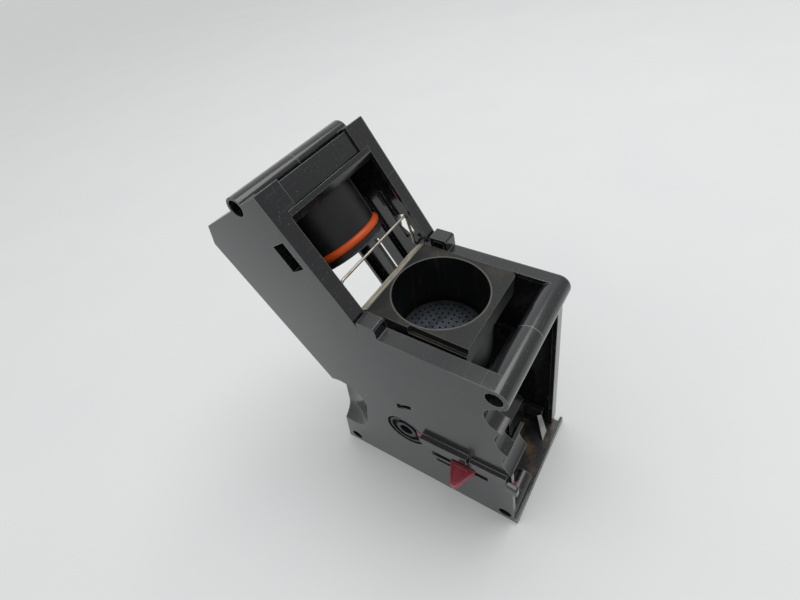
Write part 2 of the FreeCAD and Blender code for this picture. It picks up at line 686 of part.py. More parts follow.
def yoke_beam():
    """Cross beam in front of the chamber that ties the fork plates together."""
    v0 = CYLINDER_R + BEAM_GAP
    beam = brew_box(-YOKE_IN, YOKE_IN, BEAM_U, BEAM_U + BEAM_HEIGHT, v0, v0 + BEAM_DEPTH)
    pocket = brew_box(-YOKE_IN + 8, YOKE_IN - 8, BEAM_U + 2, BEAM_U + BEAM_HEIGHT - 2, v0 + BEAM_DEPTH - 2, v0 + BEAM_DEPTH + 1)
    return beam.cut(pocket)


def thrust_washers():
    """Long washers on the shaft between each fork plate and its bush."""
    centre = (HUB_Y, HUB_Z)
    left = ring_x(centre, SHAFT_R, SHAFT_R + 2.5, -INNER + BUSH_WEB + RUN_GAP, -YOKE_OUT)
    return Part.makeCompound([left, mirror(left)])


def shaft_clips():
    """Spring rings on the shaft that keep the fork plates from sliding in."""
    centre = (HUB_Y, HUB_Z)
    ring = ring_x(centre, SHAFT_R, SHAFT_R + 2.0, -YOKE_IN, -YOKE_IN + 1.2)
    gap = box(-YOKE_IN - 1, -YOKE_IN + 2, HUB_Y - 1.5, HUB_Y + 1.5, HUB_Z - SHAFT_R - 3, HUB_Z)
    left = ring.cut(gap)
    return Part.makeCompound([left, mirror(left)])


def chamber():
    """Brew chamber: square head plate with a scraping edge, cylinder, floor and shoe pins."""
    low = CHAMBER_TOP - CHAMBER_LENGTH
    plate_low = CHAMBER_TOP - PLATE_THICK
    edge = PLATE_BACK + PLATE_BEVEL
    plate = prism(
        [
            brew(plate_low, PLATE_FRONT),
            brew(CHAMBER_TOP, PLATE_FRONT),
            brew(CHAMBER_TOP, -PLATE_BACK),
            brew(CHAMBER_TOP - PLATE_BEVEL * 0.6, -edge),
            brew(plate_low, -edge),
        ],
        -PLATE_HALF,
        PLATE_HALF,
    )
    corner = V(PLATE_HALF, *brew((plate_low + CHAMBER_TOP) / 2, PLATE_FRONT))
    upright = [edge for edge in plate.Edges if (edge.CenterOfMass - corner).Length < 0.01]
    plate = plate.makeFillet(PLATE_CORNER_R, upright)
    pins = []
    for u in (SHOE_UPPER_U, SHOE_LOWER_U):
        pins.append(rod_x(brew(u, 0), SHOE_PIN_R, -YOKE_OUT, -BORE_R - 0.8))
        pins.append(rod_x(brew(u, 0), SHOE_PIN_R, BORE_R + 0.8, YOKE_OUT))
    body = join(plate, brew_rod(CYLINDER_R, low, CHAMBER_TOP), *pins)
    bore = brew_rod(BORE_R, low + CHAMBER_FLOOR, CHAMBER_TOP + 1)
    side_step = brew_box(-PLATE_HALF - 1, -PLATE_HALF + 1.6, CHAMBER_TOP - 4, CHAMBER_TOP + 1, -2, PLATE_FRONT + 1)
    sleeve = brew_rod(ROD_R + RUN_GAP + ROD_SLEEVE_WALL, low, ROD_SLEEVE_TOP)
    body = body.cut([bore, side_step])
    return join(body, sleeve).cut(brew_rod(ROD_R + RUN_GAP, low - 1, ROD_SLEEVE_TOP + 1))


def guide_shoes():
    """Four round shoes pressed on the chamber's pins."""
    solids = []
    for u in (SHOE_UPPER_U, SHOE_LOWER_U):
        left = ring_x(brew(u, 0), SHOE_PIN_R, SHOE_R, -YOKE_OUT, -YOKE_IN + FIT_GAP)
        solids += [left, mirror(left)]
    return Part.makeCompound(solids)


def sieve_holes(top_at, hole_r, rings):
    """Round holes on circles, for a perforated disc at rest in the chamber."""
    made = []
    for r, count in rings:
        for k in range(count):
            turn = 2 * math.pi * k / count
            y, z = brew(top_at - 3, r * math.sin(turn))
            made.append(Part.makeCylinder(hole_r, 6, V(r * math.cos(turn), y, z), V(0, *AXIS)))
    return made


LOWER_TOP = CHAMBER_TOP - SIEVE_DEPTH
LOWER_SEAT = LOWER_TOP - SIEVE_THICK
LOWER_R = BORE_R - PISTON_GAP
SIEVE_RINGS = [(SIEVE_PITCH * k, 6 * k) for k in range(1, SIEVE_CIRCLES + 1)]


def lower_piston():
    """Disc that carries the lower sieve and pushes the puck out."""
    low = LOWER_SEAT - PISTON_DISC
    disc = brew_rod(LOWER_R, low, LOWER_SEAT)
    groove_at = low + (PISTON_DISC - SEAL_WIDTH) / 2
    groove = brew_rod(LOWER_R + 1, groove_at, groove_at + SEAL_WIDTH).cut(
        brew_rod(LOWER_R - 2, groove_at - 1, groove_at + SEAL_WIDTH + 1)
    )
    recess = brew_rod(SIEVE_R - 3, LOWER_SEAT - 1.2, LOWER_SEAT + 1)
    return disc.cut([groove, recess, brew_rod(ROD_SPIGOT_R + RUN_GAP, low - 1, low + PISTON_DISC / 2)])


def lower_rod():
    """Push rod under the lower piston, with a spigot into the disc."""
    low = LOWER_SEAT - PISTON_DISC
    return join(brew_rod(ROD_R, ROD_FOOT_U, low), brew_rod(ROD_SPIGOT_R, low - 1, low + PISTON_DISC / 2 - FIT_GAP))


def lower_seal():
    low = LOWER_SEAT - PISTON_DISC
    groove_at = low + (PISTON_DISC - SEAL_WIDTH) / 2
    ring = brew_rod(LOWER_R, groove_at, groove_at + SEAL_WIDTH)
    return ring.cut(brew_rod(LOWER_R - 2, groove_at - 1, groove_at + SEAL_WIDTH + 1))


def lower_sieve():
    """Perforated steel disc on the lower piston."""
    disc = brew_rod(SIEVE_R, LOWER_SEAT, LOWER_TOP)
    return disc.cut(sieve_holes(LOWER_TOP, SIEVE_HOLE_R, [(0.0, 1)] + SIEVE_RINGS))


def piston_carrier():
    """Shelf across the head that holds the upper piston, with a front lip."""
    side = INNER - FIT_GAP
    shelf = head_box(-side, side, CARRIER_S, CARRIER_S + CARRIER_THICK, WALL + FIT_GAP, HEAD_DEPTH - 2 * HEAD_CHAMFER)
    lip_half = HALF - RIM_WIDTH - FIT_GAP
    lip_top = PAD_S - FIT_GAP
    lip_back = AXIS_D - PISTON_BODY_R - FIT_GAP
    lip = prism(
        [
            head(lip_top, -0.4),
            head(lip_top, WALL + 2.5),
            head(CARRIER_S, WALL + 2.5),
            head(CARRIER_S, lip_back),
            head(CARRIER_S - LEDGE_THICK, lip_back),
            head(CARRIER_S - LEDGE_THICK, WALL),
            head(CARRIER_S + 1, -0.4),
        ],
        -lip_half,
        lip_half,
    )
    return join(shelf, lip).cut(head_rod(NOZZLE_R, CARRIER_S - 1, CARRIER_S + CARRIER_THICK + 1))


def head_panel():
    """Panel across the top of the head, set back between the arm pads."""
    inset = PAD_HALF - FIT_GAP
    low, high = PAD_S + FIT_GAP, ARM_LENGTH - WALL / 2
    face = head_box(-inset, inset, low, high, PANEL_DROP, WALL + FIT_GAP)
    wing_top = ARM_LENGTH - WALL - FIT_GAP
    wings = head_box(-INNER + FIT_GAP, INNER - FIT_GAP, low, wing_top, WALL + FIT_GAP, 2 * WALL + FIT_GAP)
    return join(face, wings)


def head_cover():
    """Closing panel at the back of the head, in front of the shells' rear lips."""
    d1 = HEAD_DEPTH - WALL - FIT_GAP
    side = INNER - FIT_GAP
    return head_box(-side, side, HEAD_COVER_LOW, ARM_LENGTH - HEAD_CHAMFER, d1 - WALL, d1)


ORING_S = FACE_S + FLANGE_THICK + ORING_SECTION_R
ORING_R = BORE_R - PISTON_GAP - ORING_SECTION_R


def upper_piston():
    """Fixed plunger under the carrier with a seal groove, a hollow and an outlet stub."""
    flange = head_rod(PISTON_FLANGE_R, FACE_S + SIEVE_THICK, FACE_S + FLANGE_THICK)
    core = head_rod(ORING_R - ORING_SECTION_R, FACE_S + SIEVE_THICK, CARRIER_S)
    body = head_rod(PISTON_BODY_R, FACE_S + FLANGE_THICK + 2 * ORING_SECTION_R, CARRIER_S)
    rib = head_box(-1.2, 1.2, FACE_S + FLANGE_THICK + 6, CARRIER_S, AXIS_D - PISTON_BODY_R - 0.8, AXIS_D)
    rib = rib.copy()
    rib.rotate(V(0, *head(0, AXIS_D)), V(0, *UP), 58)
    stub = head_rod(NOZZLE_R, CARRIER_S - 1, CARRIER_S + CARRIER_THICK)
    whole = join(core, flange, body, rib, stub)
    way = head_rod(NOZZLE_BORE_R, FACE_S + 10, CARRIER_S + CARRIER_THICK + 1)
    spread = head_rod(SIEVE_R - 4, FACE_S + SIEVE_THICK - 1, FACE_S + SIEVE_THICK + 1.2)
    spread = spread.cut(head_rod(5.0, FACE_S - 2, FACE_S + 6))
    thread = head_rod(SCREW_R, FACE_S, FACE_S + 9)
    return whole.cut([way, spread, thread])


def upper_seal():
    """Round silicone ring in the upper piston's groove."""
    ring = Part.makeTorus(ORING_R, ORING_SECTION_R, V(0, *head(ORING_S, AXIS_D)), V(0, *UP))
    return ring


def upper_sieve():
    """Perforated steel disc on the upper piston's face."""
    disc = head_rod(SIEVE_R, FACE_S, FACE_S + SIEVE_THICK)
    holes = [head_rod(SCREW_R + FIT_GAP, FACE_S - 1, FACE_S + SIEVE_THICK + 1)]
    for r, count in SIEVE_RINGS[1:]:
        for k in range(count):
            turn = 2 * math.pi * k / count
            x, d = r * math.cos(turn), AXIS_D + r * math.sin(turn)
            holes.append(head_rod(SIEVE_HOLE_R, FACE_S - 1, FACE_S + SIEVE_THICK + 1, x, d))
    return disc.cut(holes)


def upper_sieve_screw():
    head_part = head_rod(SCREW_HEAD_R, FACE_S - 1.0, FACE_S)
    return join(head_part, head_rod(SCREW_R, FACE_S, FACE_S + 9))


def outlet_nozzle():
    """Hose stub on top of the carrier for the water way."""
    low = CARRIER_S + CARRIER_THICK
    tube = join(head_rod(NOZZLE_R, low, low + NOZZLE_LENGTH), head_rod(NOZZLE_R + 2, low, low + 2))
    return tube.cut(head_rod(NOZZLE_BORE_R, low - 1, low + NOZZLE_LENGTH + 1))


def lock_slider():
    """Red lock: bar behind the wall, finger towards the hub and a pointed tab for the thumb."""
    x_bar, x_in = -INNER + FIT_GAP, -INNER + FIT_GAP + LOCK_BAR
    x_groove = -INNER - LOCK_FINGER - FIT_GAP
    bar = box(x_bar, x_in, FRONT_EDGE - 1.2, LOCK_BAR_BACK, LOCK_BAR_LOW, LOCK_BAR_HIGH)
    riser = box(x_bar, x_in, LOCK_TAB_FRONT + 2, LOCK_TAB_FRONT + 9, LOCK_BAR_HIGH - 1, LOCK_FINGER_HIGH)
    joint = box(x_groove, x_in, LOCK_TAB_FRONT + 2, LOCK_TAB_FRONT + 9, LOCK_FINGER_LOW, LOCK_FINGER_HIGH)
    finger = box(x_groove, -INNER - FIT_GAP, LOCK_TAB_FRONT + 2, LOCK_FINGER_TIP, LOCK_FINGER_LOW, LOCK_FINGER_HIGH)
    tip = -HALF - LOCK_TAB_OUT
    middle = (LOCK_TAB_FRONT + LOCK_TAB_BACK) / 2
    half = LOCK_SLOT / 2 - FIT_GAP
    root = x_bar + LOCK_BAR / 2
    outline = [(root, LOCK_TAB_FRONT), (-HALF - 0.4, LOCK_TAB_FRONT), (tip + 2.0, middle - 2.6)]
    outline += [(tip, middle), (tip + 2.0, middle + 2.6), (-HALF - 0.4, LOCK_TAB_BACK), (root, LOCK_TAB_BACK)]
    z0 = LOCK_Z - half
    points = [V(x, y, z0) for x, y in outline]
    edges = [Part.LineSegment(a, b).toShape() for a, b in zip(points[:2], points[1:3])]
    edges.append(Part.Arc(points[2], points[3], points[4]).toShape())
    ends = points[4:] + points[:1]
    edges += [Part.LineSegment(a, b).toShape() for a, b in zip(ends[:-1], ends[1:])]
    tab = Part.Face(Part.Wire(edges)).extrude(V(0, 0, 2 * half))
    return join(bar, riser, joint, finger, tab)


def lock_cover():
    """Thin plate inside the left wall that keeps the lock bar in its room."""
    x0 = -INNER + LOCK_REACH
    low, high = LOCK_BAR_LOW - FIT_GAP - 2, LOCK_FINGER_HIGH + FIT_GAP + 2
    return box(x0, x0 + LOCK_COVER, FRONT_EDGE + 3, LOCK_COVER_BACK, low, high)


def scraper_wire():
    """Bent wire loop: feet in the wall bosses, two legs and a cross bar, corners rounded."""
    lean = TILT - math.radians(WIRE_LEAN)
    height = (FACE_S - WIRE_BELOW - WIRE_PIVOT_S) / math.cos(math.radians(WIRE_LEAN))
    foot = head(WIRE_PIVOT_S, WIRE_PIVOT_D)
    top = (foot[0] + height * math.sin(lean), foot[1] + height * math.cos(lean))
    end = INNER - 0.6
    corners = [V(-end, *foot), V(-WIRE_HALF, *foot), V(-WIRE_HALF, *top), V(WIRE_HALF, *top), V(WIRE_HALF, *foot), V(end, *foot)]
    edges = []
    at = corners[0]
    for before, corner, after in zip(corners, corners[1:], corners[2:]):
        back = (before - corner).normalize()
        on = (after - corner).normalize()
        first, last = corner + back * WIRE_BEND, corner + on * WIRE_BEND
        inside = corner + (back + on) * WIRE_BEND
        middle = inside - (back + on).normalize() * WIRE_BEND
        edges.append(Part.LineSegment(at, first).toShape())
        edges.append(Part.Arc(first, middle, last).toShape())
        at = last
    edges.append(Part.LineSegment(at, corners[-1]).toShape())
    path = Part.Wire(edges)
    section = Part.Wire(Part.Circle(corners[0], V(1, 0, 0), WIRE_R).toShape())
    return path.makePipeShell([section], True, True)


def main():
    os.makedirs(OUT, exist_ok=True)
    write("left_shell", left_shell())
    write("right_shell", right_shell())
    write("base_plate", base_plate())
    write("rear_panel", rear_panel())
    write("inner_block", inner_block())
    write("shell_screws", shell_screws())
    write("left_bush", bush())
    write("right_bush", mirror(bush()))
    write("head_panel", head_panel())
    write("head_cover", head_cover())
    write("piston_carrier", piston_carrier())
    write("upper_piston", upper_piston())
    write("upper_seal", upper_seal())
    write("upper_sieve", upper_sieve())
    write("upper_sieve_screw", upper_sieve_screw())
    write("outlet_nozzle", outlet_nozzle())
    write("lock_cover", lock_cover())
    write("lock_slider", lock_slider())
    write("drive_shaft", drive_shaft())
    write("yoke_left_arm", yoke_arm())
    write("yoke_right_arm", mirror(yoke_arm()))
    write("yoke_beam", yoke_beam())
    write("thrust_washers", thrust_washers())
    write("shaft_clips", shaft_clips())
    write("brew_chamber", chamber())
    write("guide_shoes", guide_shoes())
    write("lower_piston", lower_piston())
    write("lower_rod", lower_rod())
    write("lower_seal", lower_seal())
    write("lower_sieve", lower_sieve())
    write("scraper_wire", scraper_wire())


main()
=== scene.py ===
import math

import bmesh
import bpy
from mathutils import Matrix, Vector


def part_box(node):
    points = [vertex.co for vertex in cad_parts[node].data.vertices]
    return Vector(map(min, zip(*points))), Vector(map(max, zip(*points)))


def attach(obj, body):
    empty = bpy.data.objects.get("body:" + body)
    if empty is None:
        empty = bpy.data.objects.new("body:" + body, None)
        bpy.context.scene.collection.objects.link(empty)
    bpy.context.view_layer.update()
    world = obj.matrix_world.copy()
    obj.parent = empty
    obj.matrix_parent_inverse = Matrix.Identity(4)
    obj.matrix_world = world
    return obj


# Brewing unit of an automatic coffee machine, on a pale table under soft light.
MM = 0.001
PER_METRE = 1000.0

# Camera: where it stands in the row frame, which way it faces, and its angle of view
CAMERA_AT = (-127.6, -122.9, 282.8)
CAMERA_RIGHT = (0.5366, -0.8206, -0.1968)
CAMERA_UP = (0.6567, 0.2595, 0.7081)
CAMERA_BACK = (-0.53, -0.5092, 0.6781)
SENSOR_WIDTH = 36.0
IMAGE_WIDTH = 800
FOCAL_PIXELS = 450.76
NEAR_CLIP = 0.01

# Table, a hair below the base, and light: the room dims towards one side, in front
TABLE_SIZE = 60000.0
TABLE_DROP = 0.05
TABLE_COLOUR = "#e6e7e6"
TABLE_MOTTLE = "#dfe1e2"
ROOM_COLOUR = "#fdfefe"
ROOM_BRIGHT = 0.93
ROOM_DIM = 0.44
DIM_SIDE = (0.1, -0.95, 0.27)
DIM_START = -0.3
DIM_END = 0.9
LAMP_POWER = 9.0
LAMP_SIZE = 1000.0
LAMP_AT = (450.0, -300.0, 1550.0)

# Chamber: its lean, how far behind its axis the scraping edge lies, its bore and the width of
# the rim ring that is painted pale as rubbing and as a highlight
CHAMBER_LEAN = math.radians(6.0)
SCUFF_START = 24.5
SCUFF_END = 26.0
BORE_R = 23.7
RIM_WEAR_AND_HIGHLIGHT_WIDTH = 0.5

# Top of the floor inside, where coffee dries
FLOOR_TOP = 2.5

# Refraction of the plastics, and how a mask finds the edges that are painted pale, partly as wear
# and partly as a painted highlight
ABS_IOR = 1.53
NYLON_IOR = 1.53
EDGE_SAMPLES = 6
EDGE_FLAT = 0.995
EDGE_ROUND = 0.85

# Coffee, wet and dry, bare plastic, and the bore's rim painted pale as rubbing and as a highlight
NYLON_BLACK = "#0d1010"
STAIN_BROWN = "#4f442f"
SCUFF_PALE = "#cfc8b6"
FILM_WET = "#0b0d0e"
FILM_BROWN = "#2e241a"
RIM_WEAR_AND_HIGHLIGHT = "#8d8a82"
CRUST_BROWN = "#6b5636"

# Bead round the lock tab: corners across and along, height of the tab, the bead's radius and
# its steps
TAB_BEAD = [(-38.8, -53.4), (-46.8, -50.4), (-48.2, -48.25), (-46.8, -46.1), (-38.8, -43.1)]
TAB_TOP_Z = 42.75
TAB_BEAD_R = 0.4
BEAD_SIDES = 8
CORNER_STEPS = 4
CORNER_SHARE = 0.2

# Strip that closes the joint behind the carrier's lip: outline back and up, and half its length
CARRIER_STRIP = [(24.78, 185.79), (26.12, 185.12), (28.71, 190.32), (27.37, 190.98)]
CARRIER_STRIP_HALF = 28.5

# Low channel along the foot of the right wall: outline across and up, where it starts and how
# long it is
SIDE_CHANNEL = [(27.0, 2.55), (34.6, 2.55), (34.6, 13.0), (30.5, 13.0), (27.0, 9.0)]
SIDE_CHANNEL_START = -68.3
SIDE_CHANNEL_LENGTH = 28.8

# Leaf spring between the floor and the channel: corners and thickness
LEAF_SPRING = [(26.7, -66.1, 12.5), (28.6, -68.3, 12.5), (22.2, -74.2, 7.0), (15.9, -74.0, 2.9)]
LEAF_SPRING_DROP = (0.3, 0.2, -0.35)

# Stop at the front end of the rail on the left wall: outline along and up, the wall's face and
# how far the stop goes out
RAIL_STOP = [(-81.5, 52.0), (-75.0, 54.3), (-75.0, 47.2), (-78.3, 45.0), (-81.5, 46.0)]
RAIL_STOP_FACE = -37.55
RAIL_STOP_OUT = -3.6


def linear(hex_colour):
    """sRGB hex colour as linear red, green, blue and alpha."""
    parts = [int(hex_colour[k : k + 2], 16) / 255 for k in (1, 3, 5)]
    curve = [c / 12.92 if c <= 0.04045 else ((c + 0.055) / 1.055) ** 2.4 for c in parts]
    return (*curve, 1.0)


def add(tree, kind, links, **settings):
    """Adds a node with its settings; links gives each input a value or another node's output."""
    made = tree.nodes.new(kind)
    for name, value in settings.items():
        setattr(made, name, value)
    for key, value in links.items():
        if isinstance(value, bpy.types.NodeSocket):
            tree.links.new(value, made.inputs[key])
        else:
            made.inputs[key].default_value = value
    return made


def new_material(name):
    """Empty node material with its surface shader and millimetre coordinates of the piece."""
    material = bpy.data.materials.new(name)
    material.use_nodes = True
    tree = material.node_tree
    tree.nodes.clear()
    shader = add(tree, "ShaderNodeBsdfPrincipled", {})
    add(tree, "ShaderNodeOutputMaterial", {"Surface": shader.outputs[0]})
    place = add(tree, "ShaderNodeTexCoord", {})
    scale = (PER_METRE, PER_METRE, PER_METRE)
    mm = add(
        tree,
        "ShaderNodeVectorMath",
        {0: place.outputs["Object"], 1: scale},
        operation="MULTIPLY",
    )
    return material, tree, shader, mm.outputs[0]


def surface(tree, shader, colour, rough, normal):
    """Links a finish's colour, roughness and normal to its surface shader."""
    tree.links.new(colour.outputs[0], shader.inputs["Base Color"])
    tree.links.new(rough.outputs[0], shader.inputs["Roughness"])
    tree.links.new(normal.outputs[0], shader.inputs["Normal"])


def edge_round_and_highlight(tree, radius_mm):
    """Rounded normal for sharp moulded edges, and a mask that is 1 along them, where the finishes
    paint rubbing and a pale painted highlight.
    """
    rounded = add(tree, "ShaderNodeBevel", {"Radius": radius_mm * MM}, samples=EDGE_SAMPLES)
    flat = add(tree, "ShaderNodeNewGeometry", {})
    same = add(
        tree,
        "ShaderNodeVectorMath",
        {0: rounded.outputs[0], 1: flat.outputs["Normal"]},
        operation="DOT_PRODUCT",
    )
    mask = add(
        tree,
        "ShaderNodeMapRange",
        {"Value": same.outputs["Value"], "From Min": EDGE_FLAT, "From Max": EDGE_ROUND},
    )
    return rounded.outputs[0], mask.outputs[0]


def upward(tree, low, high):
    """Mask that is 1 on faces that look up, where dust settles."""
    flat = add(tree, "ShaderNodeNewGeometry", {})
    split = add(tree, "ShaderNodeSeparateXYZ", {0: flat.outputs["Normal"]})
    return add(
        tree,
        "ShaderNodeMapRange",
        {"Value": split.outputs["Z"], "From Min": low, "From Max": high},
    ).outputs[0]


def moulded_abs(name, body, dusty, dust_share, gloss, edge_wear_and_highlight, edge_mm=0.6, residue=0.0):
    """ABS, injection moulded in a polished tool: black with a soft gloss that mirrors pale
    surroundings, greyed by handling dust and hairline scratches, with edges painted pale,
    partly as rubbing and partly as a painted highlight."""
    material, tree, shader, mm = new_material(name)
    normal, edge = edge_round_and_highlight(tree, edge_mm)
    # Cloudy handling film, patches about 30 mm across
    film = add(tree, "ShaderNodeTexNoise", {"Vector": mm, "Scale": 1 / 30, "Detail": 5.0})
    # Dust specks, drawn at 0.9 mm so that they show in the render
    specks = add(tree, "ShaderNodeTexNoise", {"Vector": mm, "Scale": 1 / 0.9, "Detail": 2.0})
    speck_mask = add(
        tree,
        "ShaderNodeMapRange",
        {"Value": specks.outputs[0], "From Min": 0.66, "From Max": 0.76},
    )
    # Hairline scratches about 20 mm long, in a slanting direction
    slant = add(
        tree,
        "ShaderNodeMapping",
        {"Vector": mm, "Rotation": (0.7, 0.15, 0.2), "Scale": (20.0, 0.5, 20.0)},
        vector_type="TEXTURE",
    )
    scratch = add(
        tree,
        "ShaderNodeTexNoise",
        {"Vector": slant.outputs[0], "Scale": 1.0, "Detail": 1.0},
    )
    scratch_mask = add(
        tree,
        "ShaderNodeMapRange",
        {"Value": scratch.outputs[0], "From Min": 0.68, "From Max": 0.76, "To Max": 0.4},
    )
    settled = upward(tree, 0.5, 0.98)
    dust = add(tree, "ShaderNodeMath", {0: settled, 1: film.outputs[0]}, operation="MULTIPLY")
    dust_cover = add(
        tree,
        "ShaderNodeMath",
        {0: dust.outputs[0], 1: dust_share},
        operation="MULTIPLY",
    )
    haze = add(
        tree,
        "ShaderNodeMixRGB",
        {"Fac": dust_cover.outputs[0], "Color1": linear(body), "Color2": linear(dusty)},
    )
    # Dried coffee on the floor inside, in patches about 9 mm across
    crust = add(
        tree,
        "ShaderNodeTexNoise",
        {"Vector": mm, "Scale": 1 / 9, "Detail": 7.0, "Roughness": 0.65},
    )
    crust_mask = add(
        tree,
        "ShaderNodeMapRange",
        {"Value": crust.outputs[0], "From Min": 0.48, "From Max": 0.62, "To Max": residue},
    )
    height = add(tree, "ShaderNodeSeparateXYZ", {0: mm})
    on_floor = add(
        tree,
        "ShaderNodeMapRange",
        {"Value": height.outputs["Z"], "From Min": FLOOR_TOP + 0.6, "From Max": FLOOR_TOP + 0.2},
    )
    dried = add(
        tree,
        "ShaderNodeMath",
        {0: crust_mask.outputs[0], 1: on_floor.outputs[0]},
        operation="MULTIPLY",
    )
    floored = add(tree, "ShaderNodeMath", {0: dried.outputs[0], 1: settled}, operation="MULTIPLY")
    crusted = add(
        tree,
        "ShaderNodeMixRGB",
        {"Fac": floored.outputs[0], "Color1": haze.outputs[0], "Color2": linear(CRUST_BROWN)},
    )
    marks = add(
        tree,
        "ShaderNodeMath",
        {0: speck_mask.outputs[0], 1: scratch_mask.outputs[0]},
        operation="MAXIMUM",
    )
    light_marks = add(tree, "ShaderNodeMath", {0: marks.outputs[0], 1: 0.45}, operation="MULTIPLY")
    marked = add(
        tree,
        "ShaderNodeMixRGB",
        {"Fac": light_marks.outputs[0], "Color1": crusted.outputs[0], "Color2": linear(dusty)},
    )
    # Edges painted pale: partly rubbing, partly a painted highlight of the glossy edges; the share
    # follows the handling film
    rub_and_highlight_share = add(
        tree,
        "ShaderNodeMapRange",
        {
            "Value": film.outputs[0],
            "From Min": 0.35,
            "From Max": 0.65,
            "To Min": 0.25,
            "To Max": 0.85,
        },
    )
    rub_and_highlight = add(tree, "ShaderNodeMath", {0: edge, 1: rub_and_highlight_share.outputs[0]}, operation="MULTIPLY")
    worn_and_highlit = add(
        tree,
        "ShaderNodeMixRGB",
        {"Fac": rub_and_highlight.outputs[0], "Color1": marked.outputs[0], "Color2": linear(edge_wear_and_highlight)},
    )
    rough = add(
        tree,
        "ShaderNodeMapRange",
        {
            "Value": film.outputs[0],
            "From Min": 0.3,
            "From Max": 0.7,
            "To Min": gloss,
            "To Max": gloss + 0.14,
        },
    )
    # Fine tool texture, about 0.4 mm
    grain = add(tree, "ShaderNodeTexNoise", {"Vector": mm, "Scale": 1 / 0.4, "Detail": 3.0})
    bump = add(
        tree,
        "ShaderNodeBump",
        {"Height": grain.outputs[0], "Strength": 0.05, "Distance": 0.05 * MM, "Normal": normal},
    )
    surface(tree, shader, worn_and_highlit, rough, bump)
    shader.inputs["IOR"].default_value = ABS_IOR
    shader.inputs["Coat Weight"].default_value = 0.3
    shader.inputs["Coat Roughness"].default_value = 0.06
    return material


